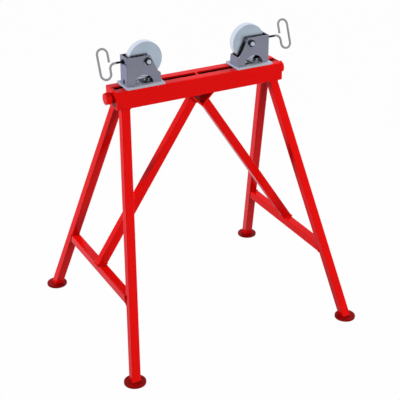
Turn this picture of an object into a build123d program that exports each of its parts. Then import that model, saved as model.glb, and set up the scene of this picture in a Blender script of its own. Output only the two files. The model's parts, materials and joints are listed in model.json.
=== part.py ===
"""Pipe stand: a splayed four-leg tube frame under a slotted beam, with two roller heads
that a left- and right-hand lead screw moves in and out together.

Millimetres. X runs along the beam, Y is depth (the viewer stands on the -Y side),
Z is up, and the floor is z = 0.
"""

import os
from math import cos, radians, sin, sqrt

from build123d import *

# Beam, a cold formed C section with the slot on top
beam_top = 762.0
beam_height = 53.5
beam_width = 76.2
beam_length = 532.0
beam_wall = 5.0
beam_corner_radius = 3.5
slot_width = 22.0
end_plate_thickness = 6.0
end_plate_rounding = 1.5

# Square tube used for the legs, the cross bars and the braces
tube_size = 26.0
tube_wall = 2.5
tube_corner_radius = 2.2

# Legs splay both ways, from the beam's underside to round feet
foot_centre_x = 357.9
foot_centre_y = 303.1
leg_top_x = 238.4
leg_top_y = 23.2
foot_diameter = 63.5
foot_thickness = 6.0
cross_bar_height = 210.0

# Braces rise from the cross bars to an angle iron saddle under the beam's middle
brace_top_x = 14.9
brace_top_z = 688.5
saddle_leg = 50.8
saddle_thickness = 4.8

# Lead screw, with a hexagon outside each end plate
screw_radius = 9.5
running_clearance = 0.05
hex_across_flats = 31.75
hex_length = 17.5
hex_end_radius = 15.2
neck_radius = 13.0
neck_length = 2.7
neck_gap = 0.3
stub_radius = 8.0
bush_radius = 12.5
collar_radius = 14.0
collar_length = 8.0
drive_pin_radius = 2.5
drive_pin_length = 30.0
centre_bearing_thickness = 8.0
slot_bridge_thickness = 4.0

# Roller heads: x is measured from the beam's middle, inset from the outer wall inwards
head_centre = 174.5
slide_gap = 0.1
base_length = 116.0
base_width = 72.0
base_thickness = 6.4
base_corner_radius = 1.0
base_chamfer = 0.8
bracket_length = 104.0
bracket_width = 46.0
bracket_plate = 4.0
bracket_height = 80.0
bracket_top_length = 71.0
slope_end_inset = 97.0
guard_height = 25.5
guard_top_inset = 102.3
guard_thickness = 3.2
arch_radius = 30.0
arch_inset = 50.0
arch_drop = 3.5
drain_width = 11.0
drain_height = 14.0

# Nut block in the beam, bolted up to the base plate through the slot
nut_block_length = 70.0
nut_block_width = 56.0
nut_block_bottom = 717.0
nut_block_top_gap = 0.4
tongue_side_gap = 0.3
bolt_radius = 6.0
bolt_clearance = 0.5
bolt_spacing = 44.0
bolt_across_flats = 19.0
bolt_head_height = 7.5
bolt_depth = 20.0
washer_radius = 12.0
washer_thickness = 2.0

# Roller on its axle bolt
axle_inset = 62.0
axle_height = 834.0
axle_radius = 6.35
axle_nut_height = 8.0
axle_thread_end = 5.5
axle_end_chamfer = 1.0
roller_radius = 50.8
roller_width = 22.0
roller_chamfer = 1.0
roller_bush_radius = 9.5
roller_bush_overhang = 0.4
spacer_radius = 11.0
spacer_gap = 0.3

# Brake screw, one bent rod with an oval grip; the right one stands turned further out
rod_radius = 3.2
brake_gap = 1.5
brake_nut_flats = 12.7
brake_nut_height = 5.6
grip_inner_x = 268.0
grip_bend = 15.2
grip_low = -25.5
grip_high = 28.3
grip_free_end = 4.5
grip_tilt = 22.0
right_brake_out = 9.0

beam_bottom = beam_top - beam_height
beam_centre_z = beam_top - beam_height / 2
beam_end = beam_length / 2
plate_inside = beam_end - end_plate_thickness
base_bottom = beam_top + slide_gap
base_top = base_bottom + base_thickness
outer_face = head_centre + bracket_length / 2
inner_half = bracket_width / 2 - bracket_plate
axle_x = outer_face - axle_inset


def save(shape, name):
    export_step(shape, f"parts/{name}.step")


def box_between(x0, x1, y0, y1, z0, z1):
    """A box by its two corners."""
    middle = Location(((x0 + x1) / 2, (y0 + y1) / 2, (z0 + z1) / 2))
    return middle * Box(abs(x1 - x0), abs(y1 - y0), abs(z1 - z0))


def rod_x(radius, x0, x1, y, z):
    """A cylinder along X."""
    return Location(((x0 + x1) / 2, y, z), (0, 90, 0)) * Cylinder(radius, abs(x1 - x0))


def rod_y(radius, y0, y1, x, z):
    """A cylinder along Y."""
    return Location((x, (y0 + y1) / 2, z), (90, 0, 0)) * Cylinder(radius, abs(y1 - y0))


def rod_z(radius, z0, z1, x, y):
    """A cylinder along Z."""
    return Location((x, y, (z0 + z1) / 2)) * Cylinder(radius, z1 - z0)


def hexagon(across_flats):
    return RegularPolygon(across_flats / 2, 6, major_radius=False)


def hex_x(across_flats, x0, x1, z, bore):
    """A hexagon along X with two corners up and down, and a bore (0 for none)."""
    plane = Plane((x0, 0, z), x_dir=(0, 0, 1), z_dir=(1, 0, 0))
    section = hexagon(across_flats)
    if bore:
        section -= Circle(bore)
    return extrude(plane * section, x1 - x0)


def hex_y(across_flats, y0, y1, x, z, bore):
    """A hexagon along Y around an axle."""
    plane = Plane((x, y0, z), x_dir=(1, 0, 0), z_dir=(0, 1, 0))
    section = hexagon(across_flats)
    if bore:
        section -= Circle(bore)
    return extrude(plane * section, y1 - y0)


def plate_xz(points, y0, y1):
    """A flat plate cut to a profile of (x, z) points."""
    face = make_face(Polyline(*[(x, y0, z) for x, z in points], close=True))
    return extrude(face, y1 - y0, dir=(0, 1, 0))


def half_turn(shape):
    """The same piece on the other side of the beam, turned about the vertical."""
    return Rotation(0, 0, 180) * shape


def make_beam():
    plane = Plane((-plate_inside, 0, beam_centre_z), x_dir=(0, 1, 0), z_dir=(1, 0, 0))
    section = RectangleRounded(beam_width, beam_height, beam_corner_radius)
    section -= Rectangle(beam_width - 2 * beam_wall, beam_height - 2 * beam_wall)
    section -= Location((0, beam_height / 2)) * Rectangle(slot_width, 3 * beam_wall)
    return extrude(plane * section, 2 * plate_inside)


def make_end_plate(side):
    x0 = side * beam_end if side < 0 else plate_inside
    plane = Plane((x0, 0, beam_centre_z), x_dir=(0, 1, 0), z_dir=(1, 0, 0))
    section = RectangleRounded(beam_width, beam_height, beam_corner_radius)
    plate = extrude(plane * section, end_plate_thickness)
    outer = plate.faces().sort_by(Axis.X)[0 if side < 0 else -1]
    plate = fillet(outer.edges(), end_plate_rounding)
    return plate - rod_x(bush_radius, x0 - 1, x0 + end_plate_thickness + 1, 0, beam_centre_z)


def make_end_bushes():
    bushes = []
    for x0 in (-beam_end, plate_inside):
        ring = rod_x(bush_radius, x0, x0 + end_plate_thickness, 0, beam_centre_z)
        ring -= rod_x(screw_radius + running_clearance, x0 - 1, x0 + end_plate_thickness + 1,
                      0, beam_centre_z)
        bushes.append(ring)
    return Compound(children=bushes)


def make_centre_bearing():
    """The block at mid-length that steadies the screw and bridges the slot."""
    half = centre_bearing_thickness / 2
    bridge = slot_bridge_thickness / 2
    inside_y = beam_width / 2 - beam_wall
    block = box_between(-half, half, -inside_y, inside_y, beam_bottom + beam_wall,
                        beam_top - beam_wall)
    block += box_between(-bridge, bridge, -slot_width / 2, slot_width / 2,
                         beam_top - beam_wall, beam_top)
    return block - rod_x(screw_radius + running_clearance, -beam_end, beam_end, 0,
                         beam_centre_z)


def leg_axis(side_x, side_y):
    foot = Vector(side_x * foot_centre_x, side_y * foot_centre_y, 0)
    top = Vector(side_x * leg_top_x, side_y * leg_top_y, beam_bottom)
    return foot, top


def make_tube(start, end, across):
    """A square tube from start to end, run long; across is a direction in one face."""
    along = (end - start).normalized()
    plane = Plane(start - along * tube_size * 2, x_dir=across, z_dir=along)
    section = RectangleRounded(tube_size, tube_size, tube_corner_radius)
    section -= Rectangle(tube_size - 2 * tube_wall, tube_size - 2 * tube_wall)
    return extrude(plane * section, (end - start).length + tube_size * 4)


def trim(shape, point, outward):
    """Cut away what lies beyond a plane."""
    return split(shape, bisect_by=Plane(point, z_dir=outward), keep=Keep.BOTTOM)


def leg_side_normal(side_x, side_y):
    """Normal of the leg face that looks to the other leg of its pair."""
    foot, top = leg_axis(side_x, side_y)
    along = (top - foot).normalized()
    normal = along.cross(Vector(1, 0, 0)).normalized()
    return normal if normal.Y * side_y < 0 else -normal


def make_leg(side_x, side_y):
    foot, top = leg_axis(side_x, side_y)
    across = leg_side_normal(side_x, side_y)
    tube = make_tube(foot, top, across)
    tube = trim(tube, (0, 0, beam_bottom), (0, 0, 1))
    return trim(tube, (0, 0, foot_thickness), (0, 0, -1))


def make_foot(side_x, side_y):
    x, y = side_x * foot_centre_x, side_y * foot_centre_y
    disc = rod_z(foot_diameter / 2, 0, foot_thickness, x, y)
    return chamfer(disc.edges().group_by(Axis.Z)[-1], 1.0)


def leg_x_at(height):
    return foot_centre_x + (leg_top_x - foot_centre_x) * height / beam_bottom


def make_cross_bar(side_x):
    x = side_x * leg_x_at(cross_bar_height)
    bar = make_tube(Vector(x, -foot_centre_y, cross_bar_height),
                    Vector(x, foot_centre_y, cross_bar_height), Vector(1, 0, 0))
    for side_y in (-1, 1):
        foot, top = leg_axis(side_x, side_y)
        inward = leg_side_normal(side_x, side_y)
        bar = trim(bar, foot + inward * tube_size / 2, -inward)
    return bar


def make_brace(side_x):
    low_z = cross_bar_height + tube_size / 2
    start = Vector(side_x * leg_x_at(cross_bar_height), 0, low_z)
    end = Vector(side_x * brace_top_x, 0, brace_top_z)
    tube = make_tube(start, end, Vector(0, 1, 0))
    tube = trim(tube, (0, 0, low_z), (0, 0, -1))
    tip = (0, 0, beam_bottom - saddle_leg / sqrt(2))
    return trim(tube, tip, (-side_x, 0, 1))


def make_saddle():
    """Angle iron, corner down, welded under the beam."""
    half = saddle_leg / sqrt(2)
    inner = half - saddle_thickness * sqrt(2)
    outline = [(-half, beam_bottom), (0, beam_bottom - half), (half, beam_bottom),
               (inner, beam_bottom), (0, beam_bottom - inner), (-inner, beam_bottom)]
    return plate_xz(outline, -beam_width / 2, beam_width / 2)


def end_chamfer(x_inner, x_outer):
    """A cone that takes the corners off a hexagon's outer end."""
    length = abs(x_outer - x_inner)
    turn = 90 if x_outer > x_inner else -90
    wide = hex_end_radius + length * sqrt(3)
    middle = Location(((x_inner + x_outer) / 2, 0, beam_centre_z), (0, turn, 0))
    return middle * Cone(wide, hex_end_radius, length)


def make_lead_screw():
    """Screw with the left hexagon forged on and a stub for the right one."""
    z = beam_centre_z
    neck = beam_end + neck_gap
    hex_start = neck + neck_length
    hex_end = hex_start + hex_length
    screw = rod_x(screw_radius, -neck, neck, 0, z)
    screw += rod_x(stub_radius, neck, hex_end, 0, z)
    screw += rod_x(neck_radius, -hex_start, -neck, 0, z)
    screw += hex_x(hex_across_flats, -hex_end, -hex_start, z, 0) & end_chamfer(-hex_start, -hex_end)
    return screw - drive_pin_hole(hex_start)


def drive_pin_hole(hex_start):
    x = hex_start + hex_length / 2
    half = drive_pin_length / 2
    return rod_z(drive_pin_radius, beam_centre_z - half, beam_centre_z + half, x, 0)


def make_right_hex():
    z = beam_centre_z
    neck = beam_end + neck_gap
    hex_start = neck + neck_length
    hex_end = hex_start + hex_length
    sleeve = hex_x(hex_across_flats, hex_start, hex_end, z, 0) & end_chamfer(hex_start, hex_end)
    sleeve += rod_x(neck_radius, neck, hex_start, 0, z)
    sleeve -= rod_x(stub_radius, neck - 1, hex_end + 1, 0, z)
    return sleeve - drive_pin_hole(hex_start)


def make_drive_pin():
    return drive_pin_hole(beam_end + neck_gap + neck_length)


def make_thrust_collars():
    start = plate_inside - neck_gap
    collars = []
    for x0, x1 in ((-start, -start + collar_length), (start - collar_length, start)):
        ring = rod_x(collar_radius, x0, x1, 0, beam_centre_z)
        collars.append(ring - rod_x(screw_radius, x0 - 1, x1 + 1, 0, beam_centre_z))
    return Compound(children=collars)


def make_base_plate():
    half = base_length / 2
    plate = box_between(-head_centre - half, -head_centre + half, -base_width / 2,
                        base_width / 2, base_bottom, base_top)
    plate = fillet(plate.edges().filter_by(Axis.Z), base_corner_radius)
    plate = chamfer(plate.edges().group_by(Axis.Z)[-1], base_chamfer)
    for x in bolt_places():
        plate -= rod_z(bolt_radius + bolt_clearance, base_bottom - 1, base_top + 1, x, 0)
    return plate


def bolt_places():
    return (-head_centre - bolt_spacing / 2, -head_centre + bolt_spacing / 2)


def side_profile():
    """Side plate outline, from the outer wall to the guard plate."""
    guard_top = base_top + guard_height
    top = base_top + bracket_height
    return [(-outer_face, base_top), (-outer_face, top),
            (-outer_face + bracket_top_length, top),
            (-outer_face + slope_end_inset, guard_top),
            (-outer_face + guard_top_inset, guard_top),
            (-outer_face + bracket_length, base_top)]


def make_bracket():
    """Folded channel: outer wall and two side plates with arched cut-outs."""
    half = bracket_width / 2
    shell = plate_xz(side_profile(), -half, half)
    shell -= box_between(-outer_face + bracket_plate, -outer_face + 2 * bracket_length,
                         -inner_half, inner_half, base_top - 1, base_top + 2 * bracket_height)
    corners = shell.edges().filter_by(Axis.Z).sort_by(Axis.X)[:2]
    shell = fillet(corners, bracket_plate / 2)
    arch = rod_y(arch_radius, -half - 1, half + 1, -outer_face + arch_inset,
                 base_top - arch_drop)
    shell -= arch
    shell -= rod_y(axle_radius, -half - 1, half + 1, -axle_x, axle_height)
    shell -= rod_x(rod_radius + running_clearance, -outer_face - 1,
                   -outer_face + bracket_plate + 1, 0, axle_height)
    straight = drain_height - drain_width / 2
    shell -= box_between(-outer_face - 1, -outer_face + bracket_plate + 1, -drain_width / 2,
                         drain_width / 2, base_top - 1, base_top + straight)
    shell -= rod_x(drain_width / 2, -outer_face - 1, -outer_face + bracket_plate + 1, 0,
                   base_top + straight)
    return shell


def make_guard_plate():
    """Low plate that closes the bracket's inner end under the slope."""
    guard_top = base_top + guard_height
    top_x = -outer_face + guard_top_inset
    low_x = -outer_face + bracket_length
    outline = [(low_x - guard_thickness, base_top), (top_x - guard_thickness, guard_top),
               (top_x, guard_top), (low_x, base_top)]
    return plate_xz(outline, -inner_half, inner_half)


def make_nut_block():
    """Threaded block in the beam with a tongue up through the slot."""
    half = nut_block_length / 2
    x0, x1 = -head_centre - half, -head_centre + half
    block_top = beam_top - beam_wall - nut_block_top_gap
    tongue = slot_width / 2 - tongue_side_gap
    block = box_between(x0, x1, -nut_block_width / 2, nut_block_width / 2, nut_block_bottom,
                        block_top)
    block += box_between(x0, x1, -tongue, tongue, block_top, base_bottom)
    block -= rod_x(screw_radius + running_clearance, x0 - 1, x1 + 1, 0, beam_centre_z)
    for x in bolt_places():
        block -= rod_z(bolt_radius, base_top - bolt_depth, base_bottom + 1, x, 0)
    return block


def make_mounting_bolts():
    bolts = []
    head_bottom = base_top + washer_thickness
    for x in bolt_places():
        bolt = rod_z(bolt_radius, base_top - bolt_depth, head_bottom, x, 0)
        bolt += extrude(Plane((x, 0, head_bottom)) * hexagon(bolt_across_flats),
                        bolt_head_height)
        bolts.append(bolt)
    return Compound(children=bolts)


def make_mounting_washers():
    rings = []
    for x in bolt_places():
        ring = rod_z(washer_radius, base_top, base_top + washer_thickness, x, 0)
        rings.append(ring - rod_z(bolt_radius, base_top - 1, base_top + 9, x, 0))
    return Compound(children=rings)


def make_axle(x):
    """Bolt from the rear, with its thread end past the nut on the viewer's side."""
    seat = bracket_width / 2 + washer_thickness
    bolt = rod_y(axle_radius, -seat - axle_nut_height - axle_thread_end, seat, x, axle_height)
    bolt = chamfer(bolt.edges().sort_by(Axis.Y)[0], axle_end_chamfer)
    return bolt + hex_y(bolt_across_flats, seat, seat + axle_nut_height, x, axle_height, 0)


def make_axle_nut(x):
    seat = bracket_width / 2 + washer_thickness
    return hex_y(bolt_across_flats, -seat - axle_nut_height, -seat, x, axle_height, axle_radius)


def ring_y(outer, inner, y0, y1):
    ring = rod_y(outer, y0, y1, -axle_x, axle_height)
    return ring - rod_y(inner, y0 - 1, y1 + 1, -axle_x, axle_height)


def make_axle_washers():
    half = bracket_width / 2
    return Compound(children=[
        ring_y(washer_radius, axle_radius, -half - washer_thickness, -half),
        ring_y(washer_radius, axle_radius, half, half + washer_thickness)])


def make_spacers():
    start = roller_width / 2 + roller_bush_overhang + spacer_gap
    return Compound(children=[
        ring_y(spacer_radius, axle_radius, -inner_half, -start),
        ring_y(spacer_radius, axle_radius, start, inner_half)])


def make_roller():
    wheel = ring_y(roller_radius, roller_bush_radius, -roller_width / 2, roller_width / 2)
    rims = wheel.edges().filter_by(GeomType.CIRCLE)
    rims = [edge for edge in rims if edge.radius > roller_radius - 1]
    return chamfer(rims, roller_chamfer)


def make_roller_bush():
    half = roller_width / 2 + roller_bush_overhang
    return ring_y(roller_bush_radius, axle_radius + running_clearance, -half, half)


def make_brake_nut():
    return hex_x(brake_nut_flats, -outer_face - brake_nut_height, -outer_face, axle_height,
                 rod_radius + running_clearance)


def make_brake_screw(tilt):
    """Bent rod: threaded stem, a quarter bend down, then the open oval grip."""
    up = Vector(0, sin(radians(tilt)), cos(radians(tilt)))
    origin = Vector(0, 0, axle_height)

    def at(distance, rise):
        return origin + Vector(-distance, 0, 0) + up * rise

    tip = axle_x + roller_radius + brake_gap
    bend_start = grip_inner_x - grip_bend
    grip_centre = grip_inner_x + grip_bend
    grip_outer_x = grip_inner_x + 2 * grip_bend
    corner = grip_bend * (1 - 1 / sqrt(2))
    path = [
        Line(at(tip, 0), at(bend_start, 0)),
        ThreePointArc(at(bend_start, 0), at(grip_inner_x - corner, -corner),
                      at(grip_inner_x, -grip_bend)),
        Line(at(grip_inner_x, -grip_bend), at(grip_inner_x, grip_low)),
        ThreePointArc(at(grip_inner_x, grip_low), at(grip_centre, grip_low - grip_bend),
                      at(grip_outer_x, grip_low)),
        Line(at(grip_outer_x, grip_low), at(grip_outer_x, grip_high)),
        ThreePointArc(at(grip_outer_x, grip_high), at(grip_centre, grip_high + grip_bend),
                      at(grip_inner_x, grip_high)),
        Line(at(grip_inner_x, grip_high), at(grip_inner_x, grip_free_end)),
    ]
    section = Plane(at(tip, 0), z_dir=(-1, 0, 0)) * Circle(rod_radius)
    return sweep(section, path=Wire([edge.edge() for edge in path]))


def make_head():
    """Pieces of the left head by name; the right head is this one turned half round."""
    return {
        "base_plate": make_base_plate(),
        "bracket": make_bracket(),
        "guard_plate": make_guard_plate(),
        "nut_block": make_nut_block(),
        "mounting_bolts": make_mounting_bolts(),
        "mounting_washers": make_mounting_washers(),
        "axle_washers": make_axle_washers(),
        "roller_spacers": make_spacers(),
        "roller": make_roller(),
        "roller_bush": make_roller_bush(),
        "brake_nut": make_brake_nut(),
    }


os.makedirs("parts", exist_ok=True)

save(make_beam(), "beam")
save(make_end_plate(-1), "end_plate_left")
save(make_end_plate(1), "end_plate_right")
save(make_end_bushes(), "end_bushes")
save(make_centre_bearing(), "centre_bearing")
for depth_name, side_y in (("front", -1), ("rear", 1)):
    for side_name, side_x in (("left", -1), ("right", 1)):
        save(make_leg(side_x, side_y), f"leg_{depth_name}_{side_name}")
        save(make_foot(side_x, side_y), f"foot_{depth_name}_{side_name}")
for side_name, side_x in (("left", -1), ("right", 1)):
    save(make_cross_bar(side_x), f"cross_bar_{side_name}")
    save(make_brace(side_x), f"brace_{side_name}")
save(make_saddle(), "brace_saddle")

save(make_lead_screw(), "lead_screw")
save(make_thrust_collars(), "thrust_collars")
save(make_right_hex(), "drive_hex_right")
save(make_drive_pin(), "drive_pin")

for name, piece in make_head().items():
    save(piece, f"{name}_left")
    save(half_turn(piece), f"{name}_right")
for side_name, x in (("left", -axle_x), ("right", axle_x)):
    save(make_axle(x), f"axle_{side_name}")
    save(make_axle_nut(x), f"axle_nut_{side_name}")
save(make_brake_screw(grip_tilt), "brake_screw_left")
right_brake = Location((right_brake_out, 0, 0)) * half_turn(make_brake_screw(-grip_tilt))
save(right_brake, "brake_screw_right")
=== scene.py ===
import json
import math
import random

import bmesh
import bpy
from mathutils import Matrix, Vector


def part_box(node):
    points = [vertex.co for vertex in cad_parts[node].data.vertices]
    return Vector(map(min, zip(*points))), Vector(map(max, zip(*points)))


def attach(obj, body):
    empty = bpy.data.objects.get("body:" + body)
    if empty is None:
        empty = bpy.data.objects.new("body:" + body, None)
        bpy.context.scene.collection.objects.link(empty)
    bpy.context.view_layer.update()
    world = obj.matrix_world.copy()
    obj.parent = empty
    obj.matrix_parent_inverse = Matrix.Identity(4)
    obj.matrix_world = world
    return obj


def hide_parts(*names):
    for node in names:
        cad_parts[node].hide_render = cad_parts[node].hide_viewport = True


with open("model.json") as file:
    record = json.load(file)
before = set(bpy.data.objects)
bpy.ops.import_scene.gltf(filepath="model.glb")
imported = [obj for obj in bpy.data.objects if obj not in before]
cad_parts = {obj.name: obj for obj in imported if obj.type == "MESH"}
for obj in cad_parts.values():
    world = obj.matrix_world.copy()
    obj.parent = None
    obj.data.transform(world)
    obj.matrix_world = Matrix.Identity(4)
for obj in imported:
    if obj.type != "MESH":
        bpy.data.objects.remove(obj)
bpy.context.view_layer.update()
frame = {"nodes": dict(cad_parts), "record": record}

sides = {"left": -1, "right": 1}
print("frame loaded:", len(frame["nodes"]), "nodes")


# Camera: azimuth 0 looks along +Y, and the shift is the photo's off-centre crop
cameraValues = {
    "azimuth": -28.73,
    "elevation": 26.95,
    "roll": 0.27,
    "distance": 3.257,
    "target": (0.062, 0.0, 0.3368),
    "lens": 95.51,
    "shift": (-0.0373, 0.0025),
}


def makeCamera(values):
    data = bpy.data.cameras.new("standCamera")
    data.sensor_width = 36
    data.lens = values["lens"]
    data.shift_x, data.shift_y = values["shift"]
    camera = bpy.data.objects.new("standCamera", data)
    bpy.context.scene.collection.objects.link(camera)
    azimuth = math.radians(values["azimuth"])
    elevation = math.radians(values["elevation"])
    back = Vector((math.sin(azimuth) * math.cos(elevation),
                   -math.cos(azimuth) * math.cos(elevation), math.sin(elevation)))
    roll = Matrix.Rotation(math.radians(values["roll"]), 4, back)
    aim = (-back).to_track_quat("-Z", "Y").to_matrix().to_4x4()
    place = Matrix.Translation(Vector(values["target"]) + back * values["distance"])
    camera.matrix_world = place @ roll @ aim
    bpy.context.scene.camera = camera


makeCamera(cameraValues)
bpy.context.scene.view_settings.view_transform = "Standard"
print("camera placed")


# Materials
def toLinear(hexText):
    parts = [int(hexText[i:i + 2], 16) / 255 for i in (1, 3, 5)]
    linear = [p / 12.92 if p <= 0.04045 else ((p + 0.055) / 1.055) ** 2.4 for p in parts]
    return (*linear, 1.0)


def addNode(tree, kind, settings=None, links=None):
    node = tree.nodes.new(kind)
    for key, value in (settings or {}).items():
        if isinstance(key, int) or key in node.inputs:
            node.inputs[key].default_value = value
        else:
            setattr(node, key, value)
    for key, source in (links or {}).items():
        tree.links.new(source, node.inputs[key])
    return node


def startMaterial(name):
    material = bpy.data.materials.new(name)
    material.use_nodes = True
    material.node_tree.nodes.clear()
    return material, material.node_tree


# Gloss baked enamel over steel: one even colour with a slow drift, and the fine waviness
# of sprayed paint that breaks up its highlights
redEnamelValues = {
    "dark": "#CC0805",
    "light": "#DA0B08",
    "cloudSize": 0.11,     # metres from one drift of tone to the next
    "peelSize": 0.009,     # real orange peel is 2 to 3 mm across, drawn coarser so that it shows
    "peelDepth": 0.00012,
    "roughness": (0.14, 0.22),
    "specular": 0.06,      # low, as the photo shows no veil on the faces seen squarely
}
# The same enamel on the feet, painted darker: painted shade low down near the floor
footShadeEnamelValues = {
    "dark": "#700504",
    "light": "#900806",
    "cloudSize": 0.02,
    "peelSize": 0.006,
    "peelDepth": 0.00015,
    "roughness": (0.3, 0.5),
    "specular": 0.06,
}
# Blue grey satin enamel on the folded brackets: softer highlights than the frame's
bracketEnamelValues = {
    "dark": "#737481",
    "light": "#7F808E",
    "cloudSize": 0.05,
    "peelSize": 0.006,
    "peelDepth": 0.00010,
    "roughness": (0.30, 0.40),
    "specular": 0.12,
}
# Pale blue grey satin enamel on the base plates
baseEnamelValues = {
    "dark": "#9BA1AC",
    "light": "#A9AFBA",
    "cloudSize": 0.05,
    "peelSize": 0.006,
    "peelDepth": 0.00010,
    "roughness": (0.30, 0.40),
    "specular": 0.15,
}


def bakedEnamel(name, values):
    material, tree = startMaterial(name)
    place = addNode(tree, "ShaderNodeTexCoord")
    cloud = addNode(tree, "ShaderNodeTexNoise", {"Scale": 1 / values["cloudSize"], "Detail": 3.0},
                    {"Vector": place.outputs["Object"]})
    colour = addNode(tree, "ShaderNodeMix",
                     {"data_type": "RGBA", 6: toLinear(values["dark"]), 7: toLinear(values["light"])},
                     {0: cloud.outputs["Fac"]})
    low, high = values["roughness"]
    rough = addNode(tree, "ShaderNodeMapRange", {"To Min": low, "To Max": high},
                    {"Value": cloud.outputs["Fac"]})
    peel = addNode(tree, "ShaderNodeTexNoise", {"Scale": 1 / values["peelSize"], "Detail": 2.0},
                   {"Vector": place.outputs["Object"]})
    bump = addNode(tree, "ShaderNodeBump", {"Strength": 0.5, "Distance": values["peelDepth"]},
                   {"Height": peel.outputs["Fac"]})
    shader = addNode(tree, "ShaderNodeBsdfPrincipled",
                     {"IOR": 1.5, "Specular IOR Level": values["specular"]},
                     {"Base Color": colour.outputs[2], "Roughness": rough.outputs["Result"],
                      "Normal": bump.outputs["Normal"]})
    addNode(tree, "ShaderNodeOutputMaterial", links={"Surface": shader.outputs["BSDF"]})
    return material


# Painted shade inside the beam and its slot: dark brown, dull and uneven
beamInsideShadeValues = {
    "dark": "#2A0B09",
    "light": "#4A1512",
    "cloudSize": 0.03,
    "peelSize": 0.004,
    "peelDepth": 0.00008,
    "roughness": (0.6, 0.8),
    "specular": 0.3,
}


# Near black painted shade inside the folded brackets and over the inner part of the base plates
bracketInsideShadeValues = {
    "dark": "#121317",
    "light": "#23242B",
    "cloudSize": 0.02,
    "peelSize": 0.003,
    "peelDepth": 0.00006,
    "roughness": (0.35, 0.6),
    "specular": 0.3,
}


# Zinc plated turned steel on the rollers: blue white, with the lathe's rings round the axle
turnedZincValues = {
    "dark": "#AEB7BA",
    "light": "#C8D0D2",
    "ringSpacing": 0.0022,  # real feed marks are 0.3 mm apart, drawn coarser so that they show
    "ringDepth": 0.00004,
    "cloudSize": 0.035,
    "roughness": (0.26, 0.38),
}


def turnedZinc(name, values, centre):
    material, tree = startMaterial(name)
    place = addNode(tree, "ShaderNodeTexCoord")
    centred = addNode(tree, "ShaderNodeMapping", {"Location": [-c for c in centre]},
                      {"Vector": place.outputs["Object"]})
    rings = addNode(tree, "ShaderNodeTexWave",
                    {"wave_type": "RINGS", "rings_direction": "Y", "Distortion": 0.6,
                     "Scale": 2 * math.pi / (20 * values["ringSpacing"]), "Detail": 2.0,
                     "Detail Scale": 0.4},
                    {"Vector": centred.outputs["Vector"]})
    cloud = addNode(tree, "ShaderNodeTexNoise", {"Scale": 1 / values["cloudSize"], "Detail": 4.0},
                    {"Vector": centred.outputs["Vector"]})
    colour = addNode(tree, "ShaderNodeMix",
                     {"data_type": "RGBA", 6: toLinear(values["dark"]), 7: toLinear(values["light"])},
                     {0: cloud.outputs["Fac"]})
    low, high = values["roughness"]
    rough = addNode(tree, "ShaderNodeMapRange", {"To Min": low, "To Max": high},
                    {"Value": cloud.outputs["Fac"]})
    bump = addNode(tree, "ShaderNodeBump", {"Strength": 0.6, "Distance": values["ringDepth"]},
                   {"Height": rings.outputs["Fac"]})
    shader = addNode(tree, "ShaderNodeBsdfPrincipled", {"Metallic": 1.0},
                     {"Base Color": colour.outputs[2], "Roughness": rough.outputs["Result"],
                      "Normal": bump.outputs["Normal"]})
    addNode(tree, "ShaderNodeOutputMaterial", links={"Surface": shader.outputs["BSDF"]})
    return material


# The same plating on the tread, coloured near white as a painted highlight, with the rings rubbed off by the
# pipes
treadWearAndHighlightValues = {
    "dark": "#ECEFF0",
    "light": "#F8F9F9",
    "ringSpacing": 0.004,   # as above
    "ringDepth": 0.00002,
    "cloudSize": 0.02,
    "roughness": (0.34, 0.48),
}


# Bright zinc plate on bolts, nuts and washers: a clean mirror broken by a faint crystal grain
zincPlateValues = {"dark": "#B9BBBD", "light": "#D4D6D8", "grainSize": 0.003,
                   "grainDepth": 0.00003, "roughness": (0.16, 0.30)}
# Drawn wire of the brake screws, plated after bending: brighter and smoother than the nuts
drawnWireValues = {"dark": "#97948D", "light": "#B3B0A9", "grainSize": 0.004,
                   "grainDepth": 0.00002, "roughness": (0.10, 0.18)}
# Machined steel in oil: darker grey, with dull patches where the oil film is thick
oiledSteelValues = {"dark": "#66676A", "light": "#8D8E90", "grainSize": 0.006,
                    "grainDepth": 0.00004, "roughness": (0.28, 0.48)}
# Black oxide on the axle nuts: near black, with an oily sheen on the flats
blackOxideValues = {"dark": "#1C1D20", "light": "#303136", "grainSize": 0.004,
                    "grainDepth": 0.00003, "roughness": (0.25, 0.40)}
# Sintered bearing bronze: warm brown with a dull open grain
bronzeValues = {"dark": "#8E6A3A", "light": "#B08A52", "grainSize": 0.002,
                "grainDepth": 0.00005, "roughness": (0.35, 0.5)}


def grainedMetal(name, values):
    material, tree = startMaterial(name)
    place = addNode(tree, "ShaderNodeTexCoord")
    grain = addNode(tree, "ShaderNodeTexNoise", {"Scale": 1 / values["grainSize"], "Detail": 3.0},
                    {"Vector": place.outputs["Object"]})
    colour = addNode(tree, "ShaderNodeMix",
                     {"data_type": "RGBA", 6: toLinear(values["dark"]), 7: toLinear(values["light"])},
                     {0: grain.outputs["Fac"]})
    low, high = values["roughness"]
    rough = addNode(tree, "ShaderNodeMapRange", {"To Min": low, "To Max": high},
                    {"Value": grain.outputs["Fac"]})
    bump = addNode(tree, "ShaderNodeBump", {"Strength": 0.4, "Distance": values["grainDepth"]},
                   {"Height": grain.outputs["Fac"]})
    shader = addNode(tree, "ShaderNodeBsdfPrincipled", {"Metallic": 1.0},
                     {"Base Color": colour.outputs[2], "Roughness": rough.outputs["Result"],
                      "Normal": bump.outputs["Normal"]})
    addNode(tree, "ShaderNodeOutputMaterial", links={"Surface": shader.outputs["BSDF"]})
    return material


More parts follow.
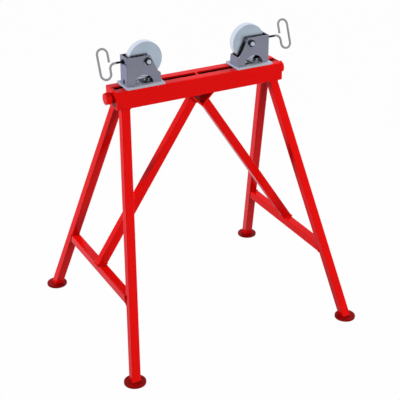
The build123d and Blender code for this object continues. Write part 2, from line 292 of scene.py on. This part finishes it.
redEnamel = bakedEnamel("redEnamel", redEnamelValues)
footShadeEnamel = bakedEnamel("footShadeEnamel", footShadeEnamelValues)
bracketEnamel = bakedEnamel("bracketEnamel", bracketEnamelValues)
baseEnamel = bakedEnamel("baseEnamel", baseEnamelValues)
beamInsideShade = bakedEnamel("beamInsideShade", beamInsideShadeValues)
bracketInsideShade = bakedEnamel("bracketInsideShade", bracketInsideShadeValues)
zincPlate = grainedMetal("zincPlate", zincPlateValues)
drawnWire = grainedMetal("drawnWire", drawnWireValues)
oiledSteel = grainedMetal("oiledSteel", oiledSteelValues)
blackOxide = grainedMetal("blackOxide", blackOxideValues)
bearingBronze = grainedMetal("bearingBronze", bronzeValues)
print("materials made")


def paintNode(nodeName, material):
    node = frame["nodes"][nodeName]
    if not node.material_slots:
        node.data.materials.append(material)
    for slot in node.material_slots:
        slot.link = "OBJECT"
        slot.material = material


finishOfSlot = {
    "red_enamel": redEnamel,
    "grey_enamel": bracketEnamel,
    "light_grey_enamel": baseEnamel,
    "plated_roller_steel": zincPlate,
    "zinc_plated_steel": zincPlate,
    "machined_steel": oiledSteel,
    "bronze": bearingBronze,
}
for subpart in frame["record"]["subparts"]:
    paintNode(subpart["node"], finishOfSlot[subpart["material_slot"]])
print("nodes painted")


# Shared shaping steps
def mergedCopy(nodeName):
    bm = bmesh.new()
    bm.from_mesh(frame["nodes"][nodeName].data)
    bmesh.ops.remove_doubles(bm, verts=bm.verts, dist=0.00001)
    bmesh.ops.dissolve_limit(bm, angle_limit=math.radians(1), verts=bm.verts, edges=bm.edges)
    return bm


def softenEdges(bm, width, segments, sharperThan):
    sharp = [e for e in bm.edges if len(e.link_faces) == 2
             and e.calc_face_angle(0) > math.radians(sharperThan)]
    bmesh.ops.bevel(bm, geom=sharp, offset=width, offset_type="OFFSET", segments=segments,
                    profile=0.5, affect="EDGES", clamp_overlap=True, material=-1)


def finishPiece(bm, name, body, materials, replaced=(), smoothUnder=38):
    bmesh.ops.recalc_face_normals(bm, faces=bm.faces)
    for face in bm.faces:
        face.smooth = True
    for edge in bm.edges:
        edge.smooth = len(edge.link_faces) == 2 and edge.calc_face_angle(0) < math.radians(smoothUnder)
    mesh = bpy.data.meshes.new(name)
    bm.to_mesh(mesh)
    bm.free()
    if "custom_normal" in mesh.attributes:
        mesh.attributes.remove(mesh.attributes["custom_normal"])
    for material in materials:
        mesh.materials.append(material)
    piece = bpy.data.objects.new(name, mesh)
    bpy.context.scene.collection.objects.link(piece)
    level = piece.modifiers.new("flatFaces", "WEIGHTED_NORMAL")
    level.keep_sharp = True
    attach(piece, body)
    if replaced:
        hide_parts(*replaced)
    return piece


def addPart(bm, part, place=Matrix.Identity(4)):
    # moves a finished part into place and adds it to a piece
    part.transform(place)
    mesh = bpy.data.meshes.new("part")
    part.to_mesh(mesh)
    part.free()
    bm.from_mesh(mesh)
    bpy.data.meshes.remove(mesh)


def along(direction, start):
    # places a part made along Z so that it starts at a point and runs in a direction
    turn = Vector(direction).to_track_quat("Z", "Y").to_matrix().to_4x4()
    return Matrix.Translation(Vector(start)) @ turn


def wirePart(points, radius, closed=False, swell=None, roundness=4):
    # a round wire through the points; swell gives each point's share of the radius
    curve = bpy.data.curves.new("wire", "CURVE")
    curve.dimensions = "3D"
    curve.bevel_depth = radius
    curve.bevel_resolution = roundness
    curve.use_fill_caps = True
    spline = curve.splines.new("POLY")
    spline.points.add(len(points) - 1)
    spline.use_cyclic_u = closed
    for index, (dot, point) in enumerate(zip(spline.points, points)):
        dot.co = (*point, 1)
        dot.radius = swell[index] if swell else 1.0
    guide = bpy.data.objects.new("wire", curve)
    bpy.context.scene.collection.objects.link(guide)
    mesh = bpy.data.meshes.new_from_object(guide)
    bpy.data.objects.remove(guide)
    bpy.data.curves.remove(curve)
    part = bmesh.new()
    part.from_mesh(mesh)
    bpy.data.meshes.remove(mesh)
    return part


def turnedPart(outline, segments):
    # spins an outline of (radius, height) points about Z
    part = bmesh.new()
    points = [part.verts.new((radius, 0, height)) for radius, height in outline]
    edges = [part.edges.new(pair) for pair in zip(points, points[1:])]
    bmesh.ops.spin(part, geom=points + edges, cent=(0, 0, 0), axis=(0, 0, 1), dvec=(0, 0, 0),
                   angle=2 * math.pi, steps=segments, use_merge=True)
    bmesh.ops.remove_doubles(part, verts=part.verts, dist=0.000001)
    bmesh.ops.recalc_face_normals(part, faces=part.faces)
    return part


def chamferedHexagon(acrossFlats, height, bothEnds):
    # a turned blank with chamfered rims, and six flats cut off it
    corner = acrossFlats / 2 / math.cos(math.radians(30))
    rim = acrossFlats / 2 * 0.97
    drop = (corner - rim) * math.tan(math.radians(30))
    low = [(0, 0), (rim, 0), (corner, drop)] if bothEnds else [(0, 0), (corner, 0)]
    part = turnedPart(low + [(corner, height - drop), (rim, height), (0, height)], 48)
    for turn in range(6):
        angle = math.radians(60 * turn + 30)
        outward = Vector((math.cos(angle), math.sin(angle), 0))
        cut = bmesh.ops.bisect_plane(part, geom=part.verts[:] + part.edges[:] + part.faces[:],
                                     dist=0.000001, plane_co=outward * acrossFlats / 2,
                                     plane_no=outward, clear_outer=True)
        rimEdges = [g for g in cut["geom_cut"] if isinstance(g, bmesh.types.BMEdge)]
        bmesh.ops.contextual_create(part, geom=rimEdges)
    return part


def threadPart(values, length, hand):
    # one pitch of the thread's outline wound up along Z, hand 1 for right and -1 for left
    part = bmesh.new()
    radius, depth, pitch = values["radius"], values["depth"], values["pitch"]
    points = [part.verts.new((radius - depth * drop, 0, pitch * share))
              for share, drop in values["outline"]]
    edges = [part.edges.new(pair) for pair in zip(points, points[1:])]
    turns = round(length / pitch) - 1
    steps = values["steps"] * turns
    bmesh.ops.spin(part, geom=points + edges, cent=(0, 0, 0), axis=(0, 0, 1),
                   dvec=(0, 0, pitch / values["steps"]), angle=hand * 2 * math.pi * turns,
                   steps=steps, use_merge=False)
    bmesh.ops.remove_doubles(part, verts=part.verts, dist=0.00001)
    openEdges = [e for e in part.edges if e.is_boundary]
    bmesh.ops.holes_fill(part, edges=openEdges, sides=0)
    bmesh.ops.recalc_face_normals(part, faces=part.faces)
    return part


# Beam and its end plates: cold formed, so the sheared edges are broken by hand
beamValues = {"brokenEdge": 0.0005, "wall": 0.005}


def makeBeam(values):
    bm = mergedCopy("beam")
    low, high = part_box("beam")
    inside = values["wall"] * 0.9
    softenEdges(bm, values["brokenEdge"], 2, 50)
    # the faces inside the beam get the dark brown painted shade
    for face in bm.faces:
        centre = face.calc_center_median()
        if abs(centre.y) < high.y - inside and low.z + inside < centre.z < high.z - inside:
            face.material_index = 1
    finishPiece(bm, "slottedBeam", "frame", [redEnamel, beamInsideShade], ["beam"])
    for side in sides:
        finishPiece(mergedCopy(f"end_plate_{side}"), f"beamEndPlate_{side}", "frame", [redEnamel],
                    [f"end_plate_{side}"])


makeBeam(beamValues)
print("beam made")


# Square tube and angle iron, saw cut with the burrs taken off
tubeValues = {"sawnEdge": 0.0003, "angleEdge": 0.0009}


def makeTubes(values):
    nodeNames = [f"leg_{depth}_{side}" for depth in ("front", "rear") for side in sides]
    nodeNames += [f"{kind}_{side}" for kind in ("cross_bar", "brace") for side in sides]
    for nodeName in nodeNames:
        bm = mergedCopy(nodeName)
        softenEdges(bm, values["sawnEdge"], 1, 50)
        finishPiece(bm, f"tube_{nodeName}", "frame", [redEnamel], [nodeName])
    bm = mergedCopy("brace_saddle")
    softenEdges(bm, values["angleEdge"], 3, 50)
    finishPiece(bm, "angleSaddle", "frame", [redEnamel], ["brace_saddle"])


makeTubes(tubeValues)
print("tubes made")


# Feet: round blanks with a rolled top edge
footValues = {"edge": 0.0018, "segments": 96}


def makeFeet(values):
    for depth in ("front", "rear"):
        for side in sides:
            nodeName = f"foot_{depth}_{side}"
            low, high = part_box(nodeName)
            radius = (high.x - low.x) / 2
            height = high.z - low.z
            outline = [(0, 0), (radius, 0), (radius, height), (0, height)]
            part = turnedPart(outline, values["segments"])
            rim = [e for e in part.edges if abs(e.calc_length() - 2 * radius * math.sin(
                   math.pi / values["segments"])) < 0.00001 and e.verts[0].co.z > height / 2]
            bmesh.ops.bevel(part, geom=rim, offset=values["edge"], offset_type="OFFSET",
                            segments=4, profile=0.5, affect="EDGES", material=-1)
            bm = bmesh.new()
            centre = (low + high) / 2
            addPart(bm, part, Matrix.Translation((centre.x, centre.y, low.z)))
            # the feet's darker enamel is painted shade
            finishPiece(bm, f"roundFoot_{depth}_{side}", "frame", [footShadeEnamel],
                        [nodeName])


makeFeet(footValues)
print("feet made")


# Weld beads, laid by hand: slightly uneven and rippled, under the enamel
weldValues = {
    "radius": 0.0026,
    "step": 0.0011,       # between rings of the bead
    "ripple": 4,          # rings from one ripple to the next
    "rippleDepth": 0.13,
    "uneven": 0.05,
}
handShake = random.Random(11)


def capOutline(nodeName, outward):
    # the outer outline of the node's end face that looks outward, as points in order
    bm = mergedCopy(nodeName)
    cap = {f for f in bm.faces if f.normal.dot(Vector(outward).normalized()) > 0.9}
    rim = {e for e in bm.edges if sum(f in cap for f in e.link_faces) == 1}
    outlines = []
    while rim:
        edge = rim.pop()
        loop = [edge.verts[0], edge.verts[1]]
        while loop[-1] is not loop[0]:
            step = next((e for e in loop[-1].link_edges if e in rim), None)
            if step is None:
                break
            rim.discard(step)
            loop.append(step.other_vert(loop[-1]))
        outlines.append([v.co.copy() for v in loop])
    bm.free()
    return max(outlines, key=pathLength)


def pathLength(points):
    return sum((b - a).length for a, b in zip(points, points[1:]))


def evenPoints(points, step):
    # the same path with points an even step apart
    count = max(8, round(pathLength(points) / step))
    size = pathLength(points) / count
    even, reached, target = [points[0].copy()], 0.0, size
    for a, b in zip(points, points[1:]):
        run = (b - a).length
        while run > 0 and reached + run >= target - 1e-9 and len(even) <= count:
            even.append(a.lerp(b, (target - reached) / run))
            target += size
        reached += run
    return even


def weldBead(name, body, material, points, radius, values):
    closed = (points[0] - points[-1]).length < 0.0001
    even = evenPoints(points, values["step"])
    if closed:
        even.pop()
    swell = [1 + values["rippleDepth"] * (math.cos(2 * math.pi * i / values["ripple"]) - 1) / 2
             + handShake.uniform(-1, 1) * values["uneven"] for i in range(len(even))]
    bm = wirePart(even, radius, closed, swell, 2)
    finishPiece(bm, name, body, [material], smoothUnder=75)


def makeFrameWelds(values):
    radius = values["radius"]
    for side, sign in sides.items():
        for depth, back in (("front", -1), ("rear", 1)):
            leg = f"leg_{depth}_{side}"
            # the foot welds take the feet's darker enamel, painted shade
            for end, outward, material in (("top", (0, 0, 1), redEnamel),
                                           ("foot", (0, 0, -1), footShadeEnamel)):
                weldBead(f"weld_{leg}_{end}", "frame", material,
                         capOutline(leg, outward), radius, values)
            weldBead(f"weld_cross_bar_{depth}_{side}", "frame", redEnamel,
                     capOutline(f"cross_bar_{side}", (0, back, 0)), radius, values)
        for end, outward in (("top", (-sign, 0, 1)), ("bottom", (0, 0, -1))):
            weldBead(f"weld_brace_{end}_{side}", "frame", redEnamel,
                     capOutline(f"brace_{side}", outward), radius, values)
        low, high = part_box("brace_saddle")
        x = low.x if sign < 0 else high.x
        inset = 0.004
        run = [Vector((x, low.y + inset, high.z)), Vector((x, high.y - inset, high.z))]
        weldBead(f"weld_saddle_{side}", "frame", redEnamel, run, radius, values)


makeFrameWelds(weldValues)
print("frame welded")


# Lead screw: left hand thread on the left half and right hand on the right half
leadThread = {
    "radius": 0.0095,
    "depth": 0.0021,
    "pitch": 0.004233,
    "steps": 20,
    "outline": ((0, 1), (0.35, 1), (0.5, 0), (0.85, 0), (1, 1)),
}
leadScrewValues = {
    "plainCentre": 0.009,   # half length of the plain journal in the centre bearing
    "plainEnd": 0.2500,     # where the thread runs out near the thrust collars
    "neckStart": 0.2663,
    "hexStart": 0.2690,
    "hexEnd": 0.2865,
    "stubRadius": 0.008,
    "stubProud": 0.0004,    # how far the screw's end stands out of the right hexagon
    "neckRadius": 0.013,
    "hexFlats": 0.03175,
}


def rod(radius, length, edge=0.0):
    if edge:
        return turnedPart([(0, 0), (radius - edge, 0), (radius, edge), (radius, length - edge),
                           (radius - edge, length), (0, length)], 48)
    return turnedPart([(0, 0), (radius, 0), (radius, length), (0, length)], 48)


def makeLeadScrew(values):
    low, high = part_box("lead_screw")
    z = (low.z + high.z) / 2
    radius = leadThread["radius"]
    bm = bmesh.new()
    addPart(bm, rod(radius, 2 * values["plainCentre"]), along((1, 0, 0), (-values["plainCentre"], 0, z)))
    threadLength = values["plainEnd"] - values["plainCentre"] + 0.004
    for sign in sides.values():
        start = values["plainCentre"] - 0.002
        addPart(bm, threadPart(leadThread, threadLength, sign),
                along((sign, 0, 0), (sign * start, 0, z)))
        addPart(bm, rod(radius, values["neckStart"] - values["plainEnd"]),
                along((sign, 0, 0), (sign * values["plainEnd"], 0, z)))
    stubLength = values["hexEnd"] + values["stubProud"] - values["neckStart"]
    addPart(bm, rod(values["stubRadius"], stubLength, 0.0008),
            along((1, 0, 0), (values["neckStart"], 0, z)))
    finishPiece(bm, "leadScrewThreaded", "lead_screw", [oiledSteel],
                ["lead_screw"])


def driveHexagon(values):
    # neck and hexagon as one forging, painted with the frame
    bm = bmesh.new()
    addPart(bm, rod(values["neckRadius"], values["hexStart"] - values["neckStart"] + 0.001, 0.0004))
    hexagon = chamferedHexagon(values["hexFlats"], values["hexEnd"] - values["hexStart"], True)
    addPart(bm, hexagon, Matrix.Translation((0, 0, values["hexStart"] - values["neckStart"])))
    return bm


def makeDriveHexagons(values):
    z = sum((corner.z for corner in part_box("lead_screw")), 0) / 2
    for side, sign in sides.items():
        bm = driveHexagon(values)
        bm.transform(Matrix.Rotation(math.radians(90), 4, "Z"))
        bm.transform(along((sign, 0, 0), (sign * values["neckStart"], 0, z)))
        replaced = ["drive_hex_right"] if side == "right" else []
        finishPiece(bm, f"driveHexagon_{side}", "lead_screw", [redEnamel], replaced)


makeLeadScrew(leadScrewValues)
makeDriveHexagons(leadScrewValues)
print("lead screw made")


# Roller heads: the folded brackets, plates and rollers
headValues = {
    "bracketEdge": 0.0005,
    "guardEdge": 0.0005,
    "baseEdge": 0.0003,
    "rollerEdge": 0.0014,
    "boltFlats": 0.019,
    "boltHead": 0.0075,
    "plate": 0.004,
    "shadeStartOnBase": 0.044,    # how far in from the outer wall the painted shade over the base plate starts
    "smallEdge": 0.0004,
    "weldRadius": 0.0017,
    "weldRuns": ((0.004, 0.021), (0.0795, 0.1015)),  # from the outer wall, on both sides of the arch
}


def paintShadeInside(bm, side, plate, start):
    # gives the faces inside the folded bracket the second material, near black painted shade, from a
    # distance inwards
    low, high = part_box(f"bracket_{side}")
    low, high = low + Vector((plate, plate, 0)), high - Vector((plate, plate, 0))
    if side == "left":
        low.x += start
    else:
        high.x -= start
    for place, outward in ((low, (-1, 0, 0)), (high, (1, 0, 0)), (low, (0, -1, 0)), (high, (0, 1, 0))):
        level = [f for f in bm.faces if f.normal.z > 0.9 and abs(f.calc_center_median().z - low.z) < 0.001]
        geom = level + [e for f in level for e in f.edges] + [v for f in level for v in f.verts]
        bmesh.ops.bisect_plane(bm, geom=list(dict.fromkeys(geom)), dist=0.000001, plane_co=place,
                               plane_no=outward)
    slack = plate / 4
    for face in bm.faces:
        centre = face.calc_center_median()
        upright = abs(face.normal.z) < 0.3
        onBase = face.normal.z > 0.9 and centre.z < low.z + 0.001
        if (upright or onBase) and low.x - slack < centre.x < high.x + slack and (
                low.y - slack < centre.y < high.y + slack):
            face.material_index = 1


def makeHeadPlates(values):
    plates = {
        "bracket": ("foldedBracket", bracketEnamel, "grey_enamel", values["bracketEdge"]),
        "guard_plate": ("guardPlate", bracketEnamel, "grey_enamel", values["guardEdge"]),
        "base_plate": ("basePlate", baseEnamel, "light_grey_enamel", values["baseEdge"]),
        "mounting_washers": ("mountingWashers", zincPlate, "zinc_plated_steel", values["smallEdge"]),
        "axle_washers": ("axleWashers", zincPlate, "zinc_plated_steel", values["smallEdge"]),
        "roller_spacers": ("rollerSpacers", zincPlate, "zinc_plated_steel", values["smallEdge"]),
    }
    for side in sides:
        for stem, (name, material, slotName, width) in plates.items():
            bm = mergedCopy(f"{stem}_{side}")
            softenEdges(bm, width, 2, 50)
            # the inner faces get near black painted shade, on the base plate only from a distance in
            if stem in ("bracket", "guard_plate"):
                paintShadeInside(bm, side, values["plate"], 0)
            if stem == "base_plate":
                paintShadeInside(bm, side, values["plate"], values["shadeStartOnBase"])
            finishPiece(bm, f"{name}_{side}", f"{side}_head", [material, bracketInsideShade],
                        [f"{stem}_{side}"])


def makeHeadWelds(values):
    # short beads that hold the folded bracket on its base plate
    for side, sign in sides.items():
        low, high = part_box(f"bracket_{side}")
        outer = low.x if sign < 0 else high.x
        corner = 0.003
        runs = [(Vector((outer, low.y + corner, low.z)), Vector((outer, high.y - corner, low.z)))]
        for y in (low.y, high.y):
            for start, end in values["weldRuns"]:
                runs.append((Vector((outer - sign * start, y, low.z)),
                             Vector((outer - sign * end, y, low.z))))
        for index, run in enumerate(runs):
            weldBead(f"weld_bracket_{side}_{index}", f"{side}_head", bracketEnamel,
                     run, values["weldRadius"], weldValues)


def makeRollers(values):
    for side, sign in sides.items():
        low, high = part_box(f"roller_{side}")
        centre = (low + high) / 2
        radius = (high.z - low.z) / 2
        width = high.y - low.y
        bore = 0.0095
        edge = values["rollerEdge"]
        corner = [(radius - edge + edge * math.sin(math.radians(a)), edge - edge * math.cos(math.radians(a)))
                  for a in (0, 22.5, 45, 67.5, 90)]
        outline = [(bore, 0), *corner, *[(r, width - h) for r, h in reversed(corner)], (bore, width),
                   (bore, 0)]
        bm = bmesh.new()
        addPart(bm, turnedPart(outline, 128), along((0, 1, 0), (centre.x, low.y, centre.z)))
        # the tread faces get the near white painted highlight
        for face in bm.faces:
            if abs(face.normal.y) < 0.3 and (face.calc_center_median() - centre).length > radius / 2:
                face.material_index = 1
        finishes = [turnedZinc(f"turnedZinc_{side}", turnedZincValues, centre),
                    turnedZinc(f"treadWearAndHighlight_{side}", treadWearAndHighlightValues, centre)]
        finishPiece(bm, f"pipeRoller_{side}", f"{side}_roller", finishes,
                    [f"roller_{side}"])


def makeHeadBolts(values):
    for side, sign in sides.items():
        body = f"{side}_head"
        low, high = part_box(f"mounting_bolts_{side}")
        bm = bmesh.new()
        headBottom = high.z - values["boltHead"]
        half = values["boltFlats"] / 2
        for x in (low.x + half / math.cos(math.radians(30)), high.x - half / math.cos(math.radians(30))):
            addPart(bm, chamferedHexagon(values["boltFlats"], values["boltHead"], False),
                    Matrix.Translation((x, 0, headBottom)))
            addPart(bm, rod(0.006, headBottom - low.z + 0.001, 0.0006),
                    Matrix.Translation((x, 0, low.z)))
        finishPiece(bm, f"mountingBolts_{side}", body, [zincPlate],
                    [f"mounting_bolts_{side}"])


# Axle bolt with a rolled thread, and its blackened nut on the viewer's side
axleThread = {
    "radius": 0.00635,
    "depth": 0.0008,
    "pitch": 0.00127,
    "steps": 20,
    "outline": ((0, 1), (0.4, 0.1), (0.6, 0.1), (1, 1)),
}
axleValues = {"flats": 0.019, "head": 0.008, "thread": 0.018, "tip": 0.0012}


def makeAxles(values):
    radius = axleThread["radius"]
    for side in sides:
        body = f"{side}_head"
        low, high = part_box(f"axle_{side}")
        centre = (low + high) / 2
        x, z = centre.x, centre.z
        bm = bmesh.new()
        tip = turnedPart([(0, 0), (radius - values["tip"], 0), (radius - 0.0004, values["tip"]),
                          (0, values["tip"])], 48)
        addPart(bm, tip, along((0, 1, 0), (x, low.y, z)))
        addPart(bm, threadPart(axleThread, values["thread"], 1),
                along((0, 1, 0), (x, low.y + values["tip"] * 0.6, z)))
        shankStart = low.y + values["thread"] - 0.001
        addPart(bm, rod(radius, high.y - values["head"] - shankStart + 0.001),
                along((0, 1, 0), (x, shankStart, z)))
        addPart(bm, chamferedHexagon(values["flats"], values["head"], False),
                along((0, 1, 0), (x, high.y - values["head"], z)))
        finishPiece(bm, f"axleBolt_{side}", body, [zincPlate],
                    [f"axle_{side}"])
        low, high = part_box(f"axle_nut_{side}")
        bm = bmesh.new()
        addPart(bm, chamferedHexagon(values["flats"], high.y - low.y, True),
                along((0, 1, 0), (x, low.y, z)))
        finishPiece(bm, f"axleNut_{side}", body, [blackOxide],
                    [f"axle_nut_{side}"])


# Brake screws: one length of wire, threaded, bent down and round into an open oval grip
brakeThread = {
    "radius": 0.0032,
    "depth": 0.0007,
    "pitch": 0.00127,
    "steps": 20,
    "outline": ((0, 1), (0.4, 0.1), (0.6, 0.1), (1, 1)),
}
brakeValues = {
    "tilt": 22.0,          # degrees that the grip leans to the rear
    "threadEnd": 0.249,    # from the middle of the beam, as the next ones
    "gripInner": 0.268,
    "bend": 0.0152,
    "low": -0.0255,        # heights on the grip above the stem
    "high": 0.0283,
    "freeEnd": 0.0045,
    "arcSteps": 16,        # to a quarter turn
    "nutFlats": 0.0127,
}


def brakePath(values, sign, height, out):
    # out is how much further out this screw stands turned than the values say
    tilt = math.radians(values["tilt"])
    inner, bend = values["gripInner"], values["bend"]

    def at(distance, rise):
        return Vector((sign * (distance + out), math.sin(tilt) * rise, height + math.cos(tilt) * rise))

    def arc(centre, rise, start, end):
        count = round(abs(end - start) / 90 * values["arcSteps"])
        angles = [math.radians(start + (end - start) * i / count) for i in range(count + 1)]
        return [at(centre + bend * math.cos(a), rise + bend * math.sin(a)) for a in angles]

    return [at(values["threadEnd"], 0), *arc(inner - bend, -bend, 90, 0),
            *arc(inner + bend, values["low"], 180, 360), *arc(inner + bend, values["high"], 0, 180),
            at(inner, values["freeEnd"])]


def makeBrakeScrews(values):
    for side, sign in sides.items():
        low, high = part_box(f"axle_{side}")
        height = (low.z + high.z) / 2
        low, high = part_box(f"brake_screw_{side}")
        tip, outer = (high.x, low.x) if sign < 0 else (low.x, high.x)
        reach = values["gripInner"] + 2 * values["bend"] + brakeThread["radius"]
        out = abs(outer) - reach
        bm = bmesh.new()
        addPart(bm, wirePart(brakePath(values, sign, height, out), brakeThread["radius"], roundness=6))
        length = values["threadEnd"] + out - abs(tip)
        thread = threadPart(brakeThread, length, 1)
        for face in thread.faces:
            face.material_index = 1
        addPart(bm, thread, along((sign, 0, 0), (tip, 0, height)))
        finishPiece(bm, f"brakeScrew_{side}", f"{side}_brake", [drawnWire, blackOxide],
                    [f"brake_screw_{side}"], smoothUnder=45)
        low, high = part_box(f"brake_nut_{side}")
        bm = chamferedHexagon(values["nutFlats"], high.x - low.x, True)
        bm.transform(Matrix.Rotation(math.radians(90), 4, "Z"))
        bm.transform(along((1, 0, 0), (low.x, 0, height)))
        finishPiece(bm, f"brakeNut_{side}", f"{side}_head", [blackOxide],
                    [f"brake_nut_{side}"])


makeHeadPlates(headValues)
makeHeadWelds(headValues)
makeRollers(headValues)
makeHeadBolts(headValues)
makeAxles(axleValues)
makeBrakeScrews(brakeValues)
print("roller heads made")


# Stage: pale floor and studio walls. The camera sees them white, and the stand's shiny
# faces see them in the blue white of the studio's lights
stageValues = {
    "floorColour": "#8E8E8E",
    "floorSize": 14.0,
    "floorWhite": 0.985,   # share of plain white that the camera sees on the floor
    "reflectedColour": "#E2E9F8",
    "skyColour": "#F3F5F8",
    "skyLight": 0.32,
}


def makeFloor(values):
    material, tree = startMaterial("paleFloor")
    path = addNode(tree, "ShaderNodeLightPath")
    matte = addNode(tree, "ShaderNodeBsdfDiffuse", {"Color": toLinear(values["floorColour"])})
    reflected = addNode(tree, "ShaderNodeEmission", {"Color": toLinear(values["reflectedColour"])})
    dressed = addNode(tree, "ShaderNodeMixShader", None,
                      {0: path.outputs["Is Glossy Ray"], 1: matte.outputs[0], 2: reflected.outputs[0]})
    share = addNode(tree, "ShaderNodeMath", {"operation": "MULTIPLY", 1: values["floorWhite"]},
                    {0: path.outputs["Is Camera Ray"]})
    white = addNode(tree, "ShaderNodeEmission", {"Color": (1, 1, 1, 1)})
    mixed = addNode(tree, "ShaderNodeMixShader", None,
                    {0: share.outputs[0], 1: dressed.outputs[0], 2: white.outputs[0]})
    addNode(tree, "ShaderNodeOutputMaterial", links={"Surface": mixed.outputs[0]})
    bm = bmesh.new()
    bmesh.ops.create_grid(bm, x_segments=1, y_segments=1, size=values["floorSize"],
                          matrix=Matrix.Translation((0, 0, -0.0004)))
    mesh = bpy.data.meshes.new("floor")
    bm.to_mesh(mesh)
    bm.free()
    mesh.materials.append(material)
    floor = bpy.data.objects.new("floor", mesh)
    bpy.context.scene.collection.objects.link(floor)


def makeSky(values):
    world = bpy.data.worlds.new("whiteStudio")
    bpy.context.scene.world = world
    world.use_nodes = True
    tree = world.node_tree
    tree.nodes.clear()
    path = addNode(tree, "ShaderNodeLightPath")
    seen = addNode(tree, "ShaderNodeMath", {"operation": "MAXIMUM"},
                   {0: path.outputs["Is Camera Ray"], 1: path.outputs["Is Transmission Ray"]})
    light = addNode(tree, "ShaderNodeBackground",
                    {"Color": toLinear(values["skyColour"]), "Strength": values["skyLight"]})
    reflected = addNode(tree, "ShaderNodeBackground",
                        {"Color": toLinear(values["reflectedColour"]), "Strength": 1.0})
    white = addNode(tree, "ShaderNodeBackground", {"Color": (1, 1, 1, 1), "Strength": 1.0})
    dressed = addNode(tree, "ShaderNodeMixShader", None,
                      {0: path.outputs["Is Glossy Ray"], 1: light.outputs[0], 2: reflected.outputs[0]})
    mixed = addNode(tree, "ShaderNodeMixShader", None,
                    {0: seen.outputs[0], 1: dressed.outputs[0], 2: white.outputs[0]})
    addNode(tree, "ShaderNodeOutputWorld", links={"Surface": mixed.outputs[0]})


# Lamps: the key stands at the rear left, as the hexagon's shadow in the photo shows, the front
# one low, as the dark tops of the feet show, and a small one hangs near the beam's right half.
# The shiny faces see the studio, not the lamps
lampValues = {
    "keyLamp": {"at": (-2.2, 1.75, 1.35), "size": 0.8, "power": 112, "colour": "#E9EEFF"},
    "frontLamp": {"at": (0.2, -2.6, 1.0), "size": 1.0, "power": 53, "colour": "#FFFFFF"},
    "topLamp": {"at": (0.7, 0.1, 1.75), "size": 0.5, "power": 13, "colour": "#FFF4F2"},
}


def makeLamps(values):
    for name, lamp in values.items():
        data = bpy.data.lights.new(name, "AREA")
        data.size = lamp["size"]
        data.energy = lamp["power"]
        data.color = toLinear(lamp["colour"])[:3]
        light = bpy.data.objects.new(name, data)
        bpy.context.scene.collection.objects.link(light)
        light.visible_glossy = False
        light.location = lamp["at"]
        aim = Vector((0, 0, 0.55)) - Vector(lamp["at"])
        light.rotation_euler = aim.to_track_quat("-Z", "Y").to_euler()


makeFloor(stageValues)
makeSky(stageValues)
makeLamps(lampValues)
print("stage made")
